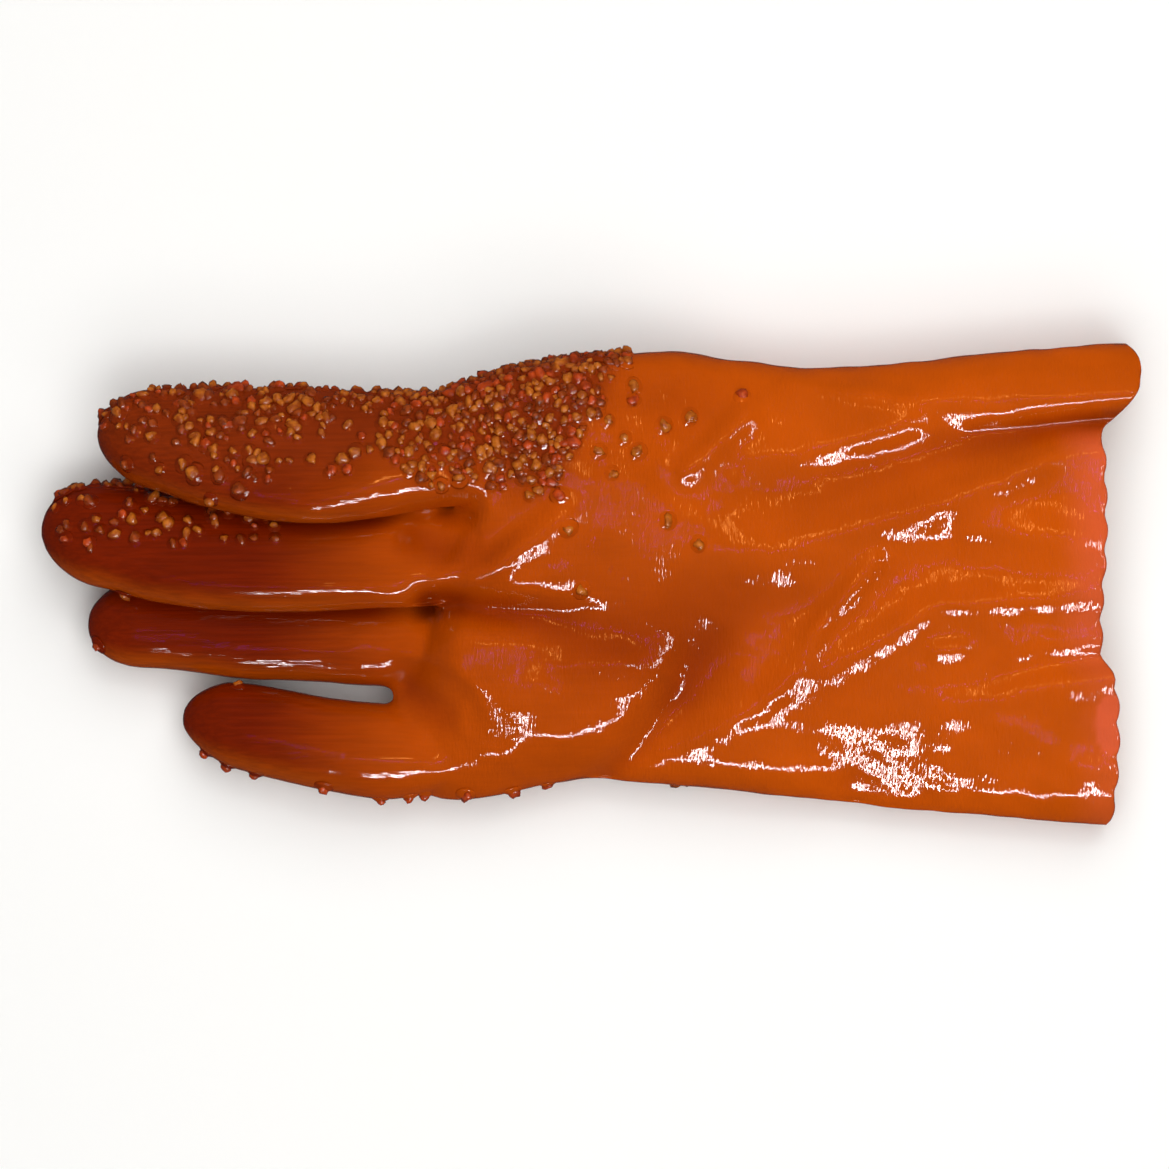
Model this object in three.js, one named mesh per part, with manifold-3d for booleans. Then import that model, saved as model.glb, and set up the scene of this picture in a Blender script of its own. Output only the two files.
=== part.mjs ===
// Household rubber glove for the left hand: one gauntlet dipped in orange PVC over a bonded knit,
// lying back up on a table. The thumb is folded under the palm and lifts the index side, and the
// index, middle and ring fingers overlap like roof tiles.
// Millimetres. +X runs from the fingertips to the cuff, +Y to the thumb side, and z = 0 is the table.
import * as THREE from "three";
import { mergeVertices } from "three/addons/utils/BufferGeometryUtils.js";
import Module from "manifold-3d";

const wasm = await Module();
wasm.setup();

// Driving dimensions
const wall = 1.8; // film and bonded knit together
const sleeveStart = -55; // crotch between the fingers, where the sleeve of the hand begins
const sleeveEnd = 158; // uncut end of the sleeve, past the trimmed rim
const knuckleRound = 18; // length over which the sleeve closes towards the fingers
const slantLength = 40; // length over which the slant of the knuckle line dies out in the sleeve
const roundAngles = [10, 34, 62]; // degrees of the sections that round off a fingertip or the knuckles
const sleevePoints = 44; // points round a section of the sleeve
const sleeveStep = 7.8; // distance between sections of the sleeve
const fingerPoints = 16; // points round a section of a finger
const fingerStep = 11; // distance between sections of a finger
const footSink = 2.2; // how far the underside would hang below the table if it did not flatten there
const riseReach = 10; // half the width over which the underside rises beside the thumb
const edgeFrom = 0.45; // share of the half-width where the underside starts to blend to its edge height
const foldFade = 0.625; // share of a section's half-height over which folds fade in from the side
const frontShare = 0.9; // width of the closed front of the sleeve, as a share of its full width
const edgePower = 0.74; // below 1 makes the folded sides of a section fuller
const fingerPower = 0.88; // the same for a finger

// Sleeve of hand, wrist and cuff: its outline from above, and the height of the back of the glove at
// the little-finger side, the middle and the thumb side.
const sleeve = [
  { x: -55, yLow: -59.0, yHigh: 52.5, low: 21, middle: 26, high: 34 },
  { x: -40, yLow: -59.8, yHigh: 54.3, low: 22.5, middle: 31, high: 39 },
  { x: -25, yLow: -57.8, yHigh: 58.4, low: 23.5, middle: 33.5, high: 42 },
  { x: -10, yLow: -54.8, yHigh: 60.6, low: 24, middle: 34, high: 43 },
  { x: 0, yLow: -53.6, yHigh: 62.0, low: 24, middle: 33.5, high: 42.5 },
  { x: 12, yLow: -54.7, yHigh: 62.8, low: 23.5, middle: 32, high: 40.5 },
  { x: 25, yLow: -55.7, yHigh: 63.2, low: 22.5, middle: 30, high: 38.5 },
  { x: 40, yLow: -57.0, yHigh: 60.9, low: 22, middle: 29, high: 37 },
  { x: 60, yLow: -59.0, yHigh: 58.9, low: 21.5, middle: 28.2, high: 36 },
  { x: 80, yLow: -61.5, yHigh: 60.3, low: 21, middle: 27.4, high: 35.5 },
  { x: 100, yLow: -63.4, yHigh: 62.3, low: 20.5, middle: 27, high: 35.5 },
  { x: 125, yLow: -65.4, yHigh: 64.6, low: 20, middle: 26.6, high: 35.5 },
  { x: 158, yLow: -67.2, yHigh: 66.4, low: 20, middle: 26.2, high: 35.5 },
];

// Underside of the sleeve: its height over the thumb and at the thumb-side edge, and the y where it
// has risen halfway to the thumb. A height below zero flattens on the table.
const underside = [
  { x: -55, thumb: 13, edge: 12, riseAt: -8 },
  { x: -40, thumb: 15.4, edge: 12, riseAt: -9 },
  { x: -25, thumb: 15.8, edge: 11, riseAt: -8 },
  { x: -10, thumb: 15.8, edge: 10, riseAt: -3 },
  { x: 0, thumb: 15, edge: 9, riseAt: 2 },
  { x: 12, thumb: 9.5, edge: 7, riseAt: 8 },
  { x: 25, thumb: 0, edge: 1, riseAt: 14 },
  { x: 40, thumb: -footSink, edge: -footSink, riseAt: 14 },
  { x: 60, thumb: -footSink, edge: -footSink, riseAt: 14 },
];

// Knuckle line: where the sleeve ends between the fingers, seen from above.
const knuckleLine = [
  { y: -58, x: -50 },
  { y: -31, x: -55 },
  { y: -3, x: -43 },
  { y: 22, x: -38 },
  { y: 52, x: -45 },
];

// Folds in the back of the glove, each along a straight stretch: half-width and height at its two
// ends. A height below zero is a valley.
const folds = [
  { name: "finger valley", from: [-44, -5], to: [22, -10], width: [5, 13], height: [-7, -2.5] },
  { name: "ridge by the finger valley", from: [-30, 5], to: [6, 13], width: [7, 9], height: [2, 1] },
  { name: "ring knuckle", from: [-34, -22], to: [-20, -34], width: [8, 8], height: [2.5, 2.5] },
  { name: "heel of the hand", from: [-6, -40], to: [10, -22], width: [12, 12], height: [2.5, 2] },
  { name: "wrist crease", from: [4, -52], to: [26, -22], width: [5, 8], height: [-3.5, -2] },
  { name: "valley under the roll", from: [52, 27], to: [146, 44.5], width: [14, 4.5], height: [-1.5, -5.5] },
  { name: "ridge by that valley", from: [50, 12], to: [146, 37], width: [9, 6], height: [1, 3] },
  { name: "roll of the cuff", from: [60, 45], to: [158, 54], width: [12, 8], height: [0.5, 2] },
  { name: "wrist trough", from: [34, -16], to: [84, 8], width: [13, 14], height: [-2.5, -1.5] },
  { name: "ridge to the rim", from: [34, -37], to: [140, -3], width: [8, 9], height: [1.5, 1.5] },
  { name: "pleat at the rim", from: [112, -21], to: [156, -19.5], width: [5, 3.5], height: [-1, -4] },
];

// Fingers: centre, half-width, half-height and roll of each section, from the tip to inside the
// sleeve. Roll lifts the little-finger side of a section on to its neighbour.
const fingers = [
  {
    name: "index",
    tipRound: 13,
    sections: [
      { x: -134, y: 41.5, z: 21, halfWidth: 12.5, halfHeight: 9.2, roll: 18 },
      { x: -120, y: 39.8, z: 23.2, halfWidth: 14.2, halfHeight: 9.6, roll: 21 },
      { x: -106, y: 37.8, z: 25.2, halfWidth: 16.3, halfHeight: 9.8, roll: 23 },
      { x: -92, y: 36.1, z: 26.6, halfWidth: 17.8, halfHeight: 9.8, roll: 24 },
      { x: -78, y: 34.8, z: 27.4, halfWidth: 18.2, halfHeight: 9.7, roll: 24 },
      { x: -64, y: 34.7, z: 27.8, halfWidth: 17.4, halfHeight: 9.8, roll: 23 },
      { x: -42, y: 36, z: 28, halfWidth: 15.8, halfHeight: 9.5, roll: 18 },
      { x: -22, y: 36.4, z: 27.6, halfWidth: 14, halfHeight: 8, roll: 10 },
    ],
  },
  {
    name: "middle",
    tipRound: 14,
    sections: [
      { x: -149.4, y: 13.6, z: 16, halfWidth: 14.5, halfHeight: 9, roll: 15 },
      { x: -134, y: 12.4, z: 17.2, halfWidth: 14.8, halfHeight: 9.2, roll: 20 },
      { x: -120, y: 10.5, z: 18.7, halfWidth: 16.4, halfHeight: 9.2, roll: 24 },
      { x: -100, y: 8.4, z: 20.2, halfWidth: 16.8, halfHeight: 9.2, roll: 25 },
      { x: -80, y: 7.7, z: 21, halfWidth: 16.4, halfHeight: 9.2, roll: 24 },
      { x: -64, y: 7.9, z: 21.6, halfWidth: 15.6, halfHeight: 9, roll: 21 },
      { x: -46, y: 7.4, z: 23.6, halfWidth: 14, halfHeight: 8.6, roll: 18 },
      { x: -22, y: 8, z: 24.8, halfWidth: 12, halfHeight: 7, roll: 10 },
    ],
  },
  {
    name: "ring",
    tipRound: 13,
    sections: [
      { x: -137, y: -11.2, z: 9, halfWidth: 11.6, halfHeight: 8.4, roll: 6 },
      { x: -126, y: -10.8, z: 9.2, halfWidth: 12.2, halfHeight: 8.8, roll: 8 },
      { x: -112, y: -11.2, z: 9.4, halfWidth: 13, halfHeight: 8.9, roll: 10 },
      { x: -96, y: -12.8, z: 9.6, halfWidth: 13.3, halfHeight: 9, roll: 10 },
      { x: -78, y: -13.8, z: 9.8, halfWidth: 13.3, halfHeight: 9, roll: 10 },
      { x: -58, y: -14.8, z: 10.8, halfWidth: 13.6, halfHeight: 9.4, roll: 10 },
      { x: -40, y: -16.2, z: 12.2, halfWidth: 13.6, halfHeight: 9.3, roll: 8 },
      { x: -24, y: -18, z: 13, halfWidth: 12, halfHeight: 8, roll: 6 },
    ],
  },
  {
    name: "little",
    tipRound: 12,
    sections: [
      { x: -111, y: -37.2, z: 10, halfWidth: 9.6, halfHeight: 8.6, roll: 4 },
      { x: -97, y: -38.8, z: 10.6, halfWidth: 11.4, halfHeight: 9.4, roll: 8 },
      { x: -84, y: -41.2, z: 11, halfWidth: 12, halfHeight: 9.9, roll: 8 },
      { x: -70, y: -44, z: 11.2, halfWidth: 12.2, halfHeight: 10.1, roll: 8 },
      { x: -56, y: -45.4, z: 11.4, halfWidth: 12.4, halfHeight: 10.2, roll: 8 },
      { x: -38, y: -44.5, z: 11.6, halfWidth: 11.4, halfHeight: 9, roll: 6 },
    ],
  },
  {
    name: "thumb",
    tipRound: 11,
    sections: [
      { x: -40, y: 15, z: 7.2, halfWidth: 10.8, halfHeight: 7, roll: 0 },
      { x: -28, y: 18.5, z: 7.5, halfWidth: 13.2, halfHeight: 7.5, roll: 0 },
      { x: -14, y: 22.5, z: 7.5, halfWidth: 14.6, halfHeight: 7.5, roll: 0 },
      { x: -2, y: 26, z: 7.8, halfWidth: 15.8, halfHeight: 7.8, roll: 0 },
      { x: 12, y: 30.5, z: 9.6, halfWidth: 17, halfHeight: 9.8, roll: 0 },
      { x: 30, y: 36.5, z: 13, halfWidth: 17, halfHeight: 11, roll: 0 },
    ],
  },
];

// Trimmed rim: where the cuff ends at each y, cut as a wave of round scallops.
const rimLine = [
  { y: -72, x: 143.4 },
  { y: -26, x: 144 },
  { y: -20, x: 140 },
  { y: 43, x: 139.2 },
  { y: 47, x: 148.6 },
  { y: 58, x: 149.4 },
  { y: 72, x: 147.5 },
];
const scallopPitch = 9.6;
const scallopDepth = 1.3;
const pointsPerScallop = 4;
const cutterHeight = 80; // of the tool that trims the rim

// A smooth curve through the rows of a table: every column's value at one key.
function sample(rows, key, at) {
  const last = rows.length - 1;
  const place = Math.min(Math.max(at, rows[0][key]), rows[last][key]);
  const i = Math.min(Math.max(rows.findIndex((row) => row[key] >= place) - 1, 0), last - 1);
  const [a, b] = [rows[i], rows[i + 1]];
  const [before, after] = [rows[Math.max(i - 1, 0)], rows[Math.min(i + 2, last)]];
  const span = b[key] - a[key];
  const u = (place - a[key]) / span;
  const values = {};
  for (const column of Object.keys(a)) {
    const slopeA = ((b[column] - before[column]) / (b[key] - before[key])) * span;
    const slopeB = ((after[column] - a[column]) / (after[key] - a[key])) * span;
    values[column] =
      (2 * u ** 3 - 3 * u ** 2 + 1) * a[column] +
      (u ** 3 - 2 * u ** 2 + u) * slopeA +
      (3 * u ** 2 - 2 * u ** 3) * b[column] +
      (u ** 3 - u ** 2) * slopeB;
  }
  return values;
}

const signedPower = (value, power) => Math.sign(value) * Math.abs(value) ** power;

// Height that the folds add at a point of the back of the glove.
function foldHeight(x, y) {
  let height = 0;
  for (const fold of folds) {
    const along = [fold.to[0] - fold.from[0], fold.to[1] - fold.from[1]];
    const offset = [x - fold.from[0], y - fold.from[1]];
    const length = Math.hypot(...along);
    const share = (offset[0] * along[0] + offset[1] * along[1]) / length ** 2;
    const across = (offset[0] * along[1] - offset[1] * along[0]) / length;
    const u = THREE.MathUtils.clamp(share, 0, 1);
    const width = THREE.MathUtils.lerp(...fold.width, u);
    const past = (share - u) * length;
    height += THREE.MathUtils.lerp(...fold.height, u) * Math.exp(-(across ** 2 + past ** 2) / width ** 2);
  }
  return height;
}

// One section of the sleeve at x, drawn in by inset all round for the inside of the wall.
function sleeveRing(x, inset) {
  const s = sample(sleeve, "x", x);
  const floor = sample(underside, "x", x);
  const start = sleeveStart + inset;
  const fromStart = Math.max(start + knuckleRound - x, 0) / knuckleRound;
  const closing = Math.sqrt(Math.max(1 - fromStart ** 2, 0));
  const slant = Math.max(1 - (x - start) / slantLength, 0);
  const yMiddle = (s.yLow + s.yHigh) / 2;
  const halfWidth = ((s.yHigh - s.yLow) / 2 - inset) * THREE.MathUtils.lerp(frontShare, 1, closing);
  const ring = [];
  for (let i = 0; i < sleevePoints; i++) {
    const angle = (2 * Math.PI * i) / sleevePoints;
    const side = signedPower(Math.cos(angle), edgePower);
    const rise = signedPower(Math.sin(angle), edgePower);
    const y = yMiddle + halfWidth * side;
    const top = s.middle + ((s.high - s.low) / 2) * side + ((s.high + s.low) / 2 - s.middle) * side ** 2;
    const riseShare = THREE.MathUtils.smoothstep(y, floor.riseAt - riseReach, floor.riseAt + riseReach);
    const edgeShare = THREE.MathUtils.smoothstep(side, edgeFrom, 1);
    const lifted = THREE.MathUtils.lerp(floor.thumb, floor.edge, edgeShare);
    const under = THREE.MathUtils.lerp(-footSink, lifted, riseShare);
    const half = ((top - under) / 2 - inset) * closing;
    const fade = THREE.MathUtils.clamp(rise / foldFade, 0, 1) * closing;
    const front = sample(knuckleLine, "y", y).x - sleeveStart;
    const z = (top + under) / 2 + half * rise + foldHeight(x, y) * fade;
    ring.push([x + front * slant, y, Math.max(z, inset)]);
  }
  return ring;
}

// One section of a finger at x, scaled towards its centre where the tip rounds off.
function fingerRing(finger, x, inset, scale) {
  const s = sample(finger.sections, "x", x);
  const roll = THREE.MathUtils.degToRad(s.roll);
  const ring = [];
  for (let i = 0; i < fingerPoints; i++) {
    const angle = (2 * Math.PI * i) / fingerPoints;
    const u = (s.halfWidth - inset) * signedPower(Math.cos(angle), fingerPower) * scale;
    const v = (s.halfHeight - inset) * signedPower(Math.sin(angle), fingerPower) * scale;
    const y = s.y + u * Math.cos(roll) + v * Math.sin(roll);
    const z = s.z - u * Math.sin(roll) + v * Math.cos(roll);
    ring.push([x, y, Math.max(z, inset)]);
  }
  return ring;
}

// Closed solid through a row of sections, with each end closed by a strip from edge to edge.
function loft(rings) {
  const count = rings[0].length;
  const end = (rings.length - 1) * count;
  const triangles = [];
  for (let i = 0; i < count; i++) {
    for (let r = 0; r < rings.length - 1; r++) {
      const [a, b] = [r * count + i, r * count + ((i + 1) % count)];
      triangles.push(a, b, b + count, a, b + count, a + count);
    }
  }
  for (let i = 0; i < count / 2; i++) {
    const [a, b, c, d] = [i, i + 1, count - i - 1, (count - i) % count];
    if (b !== c) triangles.push(a, c, b, end + a, end + b, end + c);
    if (d !== a) triangles.push(a, d, c, end + a, end + c, end + d);
  }
  return solidOf(new Float32Array(rings.flat(2)), new Uint32Array(triangles));
}

function solidOf(vertProperties, triVerts) {
  return new wasm.Manifold(new wasm.Mesh({ numProp: 3, vertProperties, triVerts }));
}

// Places along x of the sections of a sleeve or finger: some that round its end off, then even steps.
function stations(start, roundLength, end, step) {
  const places = roundAngles.map((degrees) => {
    const angle = THREE.MathUtils.degToRad(degrees);
    return { x: start + roundLength * (1 - Math.cos(angle)), scale: Math.sin(angle) };
  });
  const steps = Math.round((end - start - roundLength) / step);
  for (let i = 0; i <= steps; i++) {
    places.push({ x: THREE.MathUtils.lerp(start + roundLength, end, i / steps), scale: 1 });
  }
  return places;
}

function sleeveSolid(inset) {
  const places = stations(sleeveStart + inset, knuckleRound, sleeveEnd, sleeveStep);
  return loft(places.map((place) => sleeveRing(place.x, inset)));
}

function fingerSolid(finger, inset) {
  const [tip, base] = [finger.sections[0].x + inset, finger.sections.at(-1).x];
  const places = stations(tip, finger.tipRound, base, fingerStep);
  return loft(places.map((place) => fingerRing(finger, place.x, inset, place.scale)));
}

// Everything past the scalloped rim, which the cuff is cut with.
function rimCutter() {
  const [yStart, yEnd] = [rimLine[0].y, rimLine.at(-1).y];
  const steps = Math.round(((yEnd - yStart) / scallopPitch) * pointsPerScallop);
  const outline = new THREE.Shape();
  const back = sleeveEnd + cutterHeight / 4;
  outline.moveTo(back, yStart);
  outline.lineTo(back, yEnd);
  for (let i = steps; i >= 0; i--) {
    const y = yStart + ((yEnd - yStart) * i) / steps;
    const wave = Math.abs(Math.cos((Math.PI * (y - yStart)) / scallopPitch));
    outline.lineTo(sample(rimLine, "y", y).x + scallopDepth * (wave - 0.5), y);
  }
  const geometry = new THREE.ExtrudeGeometry(outline, { depth: cutterHeight, bevelEnabled: false });
  geometry.translate(0, 0, -cutterHeight / 4);
  geometry.deleteAttribute("normal");
  geometry.deleteAttribute("uv");
  const merged = mergeVertices(geometry);
  return solidOf(merged.attributes.position.array, new Uint32Array(merged.index.array));
}

function bodyOfGlove(inset) {
  return fingers.reduce((joined, finger) => joined.add(fingerSolid(finger, inset)), sleeveSolid(inset));
}

function geometryOf(solid) {
  const { vertProperties, triVerts } = solid.getMesh();
  const geometry = new THREE.BufferGeometry();
  geometry.setAttribute("position", new THREE.BufferAttribute(vertProperties, 3));
  geometry.setIndex(new THREE.BufferAttribute(triVerts, 1));
  geometry.computeVertexNormals();
  return geometry;
}

const shell = bodyOfGlove(0).subtract(bodyOfGlove(wall)).subtract(rimCutter());

const gloveShell = new THREE.Mesh(
  geometryOf(shell),
  new THREE.MeshStandardMaterial({ color: 0xc85a0c, roughness: 0.25, metalness: 0 }),
);
gloveShell.name = "glove_shell";
gloveShell.geometry.computeBoundingBox();
const centre = gloveShell.geometry.boundingBox.getCenter(new THREE.Vector3());
gloveShell.position.set(-centre.x, -centre.y, 0);

const glove = new THREE.Group();
glove.add(gloveShell);

export default glove;
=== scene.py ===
import bmesh
import bpy
import numpy as np
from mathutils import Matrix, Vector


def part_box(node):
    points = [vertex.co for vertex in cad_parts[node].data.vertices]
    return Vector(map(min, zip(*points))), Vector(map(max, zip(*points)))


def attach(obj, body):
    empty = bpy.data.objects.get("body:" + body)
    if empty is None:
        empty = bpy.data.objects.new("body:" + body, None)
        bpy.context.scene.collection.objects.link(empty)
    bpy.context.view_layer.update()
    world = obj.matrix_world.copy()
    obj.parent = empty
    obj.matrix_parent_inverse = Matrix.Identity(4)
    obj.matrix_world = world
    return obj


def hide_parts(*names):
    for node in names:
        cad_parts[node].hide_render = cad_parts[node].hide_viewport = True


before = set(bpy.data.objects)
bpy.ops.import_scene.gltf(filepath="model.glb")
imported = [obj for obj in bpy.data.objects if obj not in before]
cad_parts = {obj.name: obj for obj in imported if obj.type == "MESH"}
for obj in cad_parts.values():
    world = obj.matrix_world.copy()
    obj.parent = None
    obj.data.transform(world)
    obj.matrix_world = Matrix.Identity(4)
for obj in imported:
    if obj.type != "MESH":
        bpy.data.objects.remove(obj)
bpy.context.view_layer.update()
cadLow, cadHigh = (np.array(corner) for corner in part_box("glove_shell"))
rng = np.random.default_rng(11)
mm = 0.001
print("frame loaded", [round(v, 4) for v in (*cadLow, *cadHigh)])


def smooth(value, start, end):
    share = np.clip((value - start) / (end - start), 0, 1)
    return share * share * (3 - 2 * share)


def within(value, start, full, fading, end):
    # rises from 0 to 1 between the first two, and falls back between the last two
    return smooth(value, start, full) * (1 - smooth(value, fading, end))


def stepped(value, base, *steps):
    # begins at base, and each step adds its share between its start and its end
    for share, start, end in steps:
        base = base + share * smooth(value, start, end)
    return base


def signedPower(value, power):
    return np.sign(value) * np.abs(value) ** power


def sampleRows(rows, at):
    # a smooth curve through the rows, keyed by their first column
    rows = np.asarray(rows, float)
    keys = rows[:, 0]
    place = np.clip(at, keys[0], keys[-1])
    i = np.clip(np.searchsorted(keys, place) - 1, 0, len(keys) - 2)
    before, after = np.maximum(i - 1, 0), np.minimum(i + 2, len(keys) - 1)
    span = keys[i + 1] - keys[i]
    u = ((place - keys[i]) / span)[..., None]
    slopeA = (rows[i + 1] - rows[before]) * (span / (keys[i + 1] - keys[before]))[..., None]
    slopeB = (rows[after] - rows[i]) * (span / (keys[after] - keys[i]))[..., None]
    return (
        (2 * u**3 - 3 * u**2 + 1) * rows[i]
        + (u**3 - 2 * u**2 + u) * slopeA
        + (3 * u**2 - 2 * u**3) * rows[i + 1]
        + (u**3 - u**2) * slopeB
    )


# the shell: what a user would change, then its tables
shell = {
    # the two sides of the wall of film and bonded knit: how far in, size of the faces, points round the
    # sleeve, rounds of smoothing all over and at the fingers' roots, share of the ripples
    "outside": {"inset": 0, "voxel": 1.18, "around": 180, "rounds": 4, "rootRounds": 14, "rippled": 1},
    "inside": {"inset": 1.8, "voxel": 2.3, "around": 120, "rounds": 2, "rootRounds": 4, "rippled": 0.5},
    "sleeveStart": -55,
    "sleeveEnd": 158,
    "knuckleRound": 18,  # length over which its front closes
    "slantLength": 40,  # and its rings lean to the knuckles
    "frontShare": 0.9,  # share of its width left at the front
    "footSink": 2.2,  # its underside would reach this far below the table, which flattens it
    "riseReach": 10,  # half the width of the underside's rise over the thumb
    "edgeFrom": 0.45,  # share of the half-width where the rise begins to slope to the edge
    "edgePower": 0.74,  # below 1 a section is squarer than an ellipse
    "fingerPower": 0.88,
    "ringStep": 2.0,
    "smoothing": (0.6, -0.62),  # towards the neighbours, and back
    "movedWithin": 1.45,  # up to this level, points go along with their finger
    "ownedWithin": 1.3,
    "fingerRoots": (-72, -58, -36, -20),  # x between which the roots are smoothed
    "thumbRoot": (-12, 0, 24, 36),
    "thumbEnd": 40,
    "tipReach": 1.8,  # the smoothing takes this much off each fingertip again
    "handFrom": (-64, -50),  # x from which the back's folds show on every finger
    "backFacing": (0.05, 0.55),  # how far up the film faces where folds begin and are full
    "ripples": ((0.34, 24, 3), (0.14, 9, 4)),  # what wear left: height, wavelength and seed
    "rippleSteps": (0.4, (0.6, -60, -20)),  # less of it on the fingers
    "lipOut": 0.45,  # how far the rounded rim stands out
    "palmLift": 0.9,  # the crumbs under the palm hold the film this far off the table
    "palmEnd": (28, 42),
}

# x, outline low and high in y, height of the back at the little-finger side, the middle, the thumb side
sleeveRows = [
    (-55, -59.0, 53.3, 21, 26, 34),
    (-40, -59.8, 55.1, 22.5, 31, 39),
    (-25, -57.8, 58.4, 23.5, 33.5, 42),
    (-10, -54.8, 60.6, 24, 34, 43),
    (0, -53.6, 62.0, 24, 33.5, 42.5),
    (12, -54.7, 62.8, 23.5, 32, 40.5),
    (25, -55.7, 63.2, 22.5, 30, 38.5),
    (40, -57.0, 60.9, 22, 29, 37),
    (60, -59.0, 58.9, 21.5, 28.2, 36),
    (80, -61.5, 60.3, 21, 27.4, 35.5),
    (100, -63.4, 62.3, 20.5, 27, 35.5),
    (125, -65.4, 64.6, 20, 26.6, 35.5),
    (158, -67.2, 66.4, 20, 26.2, 35.5),
]

# x, height of the underside over the thumb and at the thumb-side edge, y where it has risen halfway
undersideRows = [
    (-55, 13, 12, -8),
    (-40, 15.4, 12, -9),
    (-25, 15.8, 11, -8),
    (-10, 15.8, 10, -3),
    (0, 15, 9, 2),
    (12, 9.5, 7, 8),
    (25, 0, 1, 14),
    (40, -2.2, -2.2, 14),
    (60, -2.2, -2.2, 14),
]

# y, x of the line of the knuckles
knuckleRows = [(-58, -50), (-31, -55), (-3, -43), (22, -38), (52, -45)]

# y, x of the trimmed rim
rimRows = [
    (-72, 140.3), (-62, 142.4), (-45, 143.6), (-27, 142.6), (-20, 139.2), (-6, 138.8), (12, 139.8),
    (36, 139.3), (43, 138.8), (47, 144.6), (52, 147.8), (59, 149.6), (66, 146.2), (72, 144.5),
]
scallop = {"pitch": 9.6, "depth": 1.3}

# Sections of each finger from its tip: x, y, z, half-width, half-height, roll in degrees. "apart" is
# how far a finger is held off while the shell is meshed, from one x to another in "apartFrom".
fingers = {
    "index": {
        "tipRound": 13, "apart": (0, 2.2, 3.6),
        "rows": [
            (-134, 40.8, 21, 12.0, 9.2, 18), (-120, 39.4, 23.2, 14.2, 9.6, 21),
            (-106, 37.2, 25.2, 16.9, 9.8, 23), (-92, 35.7, 26.6, 18.8, 9.8, 24),
            (-78, 34.9, 27.4, 19.6, 9.7, 24), (-64, 34.8, 27.8, 18.7, 9.8, 23),
            (-42, 36, 28, 15.8, 9.5, 18), (-22, 36.4, 27.6, 14, 8, 10),
        ],
    },
    "middle": {
        "tipRound": 14, "apart": (0, 0, 0),
        "rows": [
            (-149.4, 14.6, 16, 13.4, 9, 15), (-134, 12.8, 17.2, 14.4, 9.2, 20),
            (-120, 10.5, 18.7, 16.4, 9.2, 24), (-100, 8.4, 20.2, 16.8, 9.2, 25),
            (-80, 7.7, 21, 16.4, 9.2, 24), (-64, 7.9, 21.6, 15.6, 9, 21),
            (-46, 7.4, 23.6, 14, 8.6, 18), (-22, 8, 24.8, 12, 7, 10),
        ],
    },
    "ring": {
        "tipRound": 13, "apart": (0, -2.2, -3.6),
        "rows": [
            (-137, -11.2, 9, 11.6, 8.4, 6), (-126, -10.8, 9.2, 12.2, 8.8, 8),
            (-112, -11.2, 9.4, 13, 8.9, 10), (-96, -12.8, 9.6, 13.3, 9, 10),
            (-78, -13.8, 9.8, 13.3, 9, 10), (-58, -14.8, 10.8, 13.6, 9.4, 10),
            (-40, -16.2, 12.2, 13.6, 9.3, 8), (-24, -18, 13, 12, 8, 6),
        ],
    },
    "little": {
        "tipRound": 12, "apart": (0, -4.4, -3.6),
        "rows": [
            (-111, -37.2, 10, 9.6, 8.6, 4), (-97, -39.3, 10.6, 11.9, 9.4, 8),
            (-84, -41.9, 11, 12.7, 9.9, 8), (-70, -44.7, 11.2, 12.9, 10.1, 8),
            (-56, -46.2, 11.4, 13.2, 10.2, 8), (-38, -44.5, 11.6, 11.4, 9, 6),
        ],
    },
    "thumb": {
        "tipRound": 11, "apart": (0, 0, -5),
        "apartFrom": (16, -6),
        "rows": [
            (-40, 15, 7.2, 10.8, 7, 0), (-28, 18.5, 7.5, 13.2, 7.5, 0),
            (-14, 22.5, 7.5, 14.6, 7.5, 0), (-2, 26, 7.8, 15.8, 7.8, 0), (12, 30.5, 9.6, 17, 9.8, 0),
            (30, 36.5, 13, 17, 11, 0),
        ],
    },
}
fingerNames = list(fingers)
shift = np.array([-0.507, 0.27])  # the CAD part centres the tables' outline by this much

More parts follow.
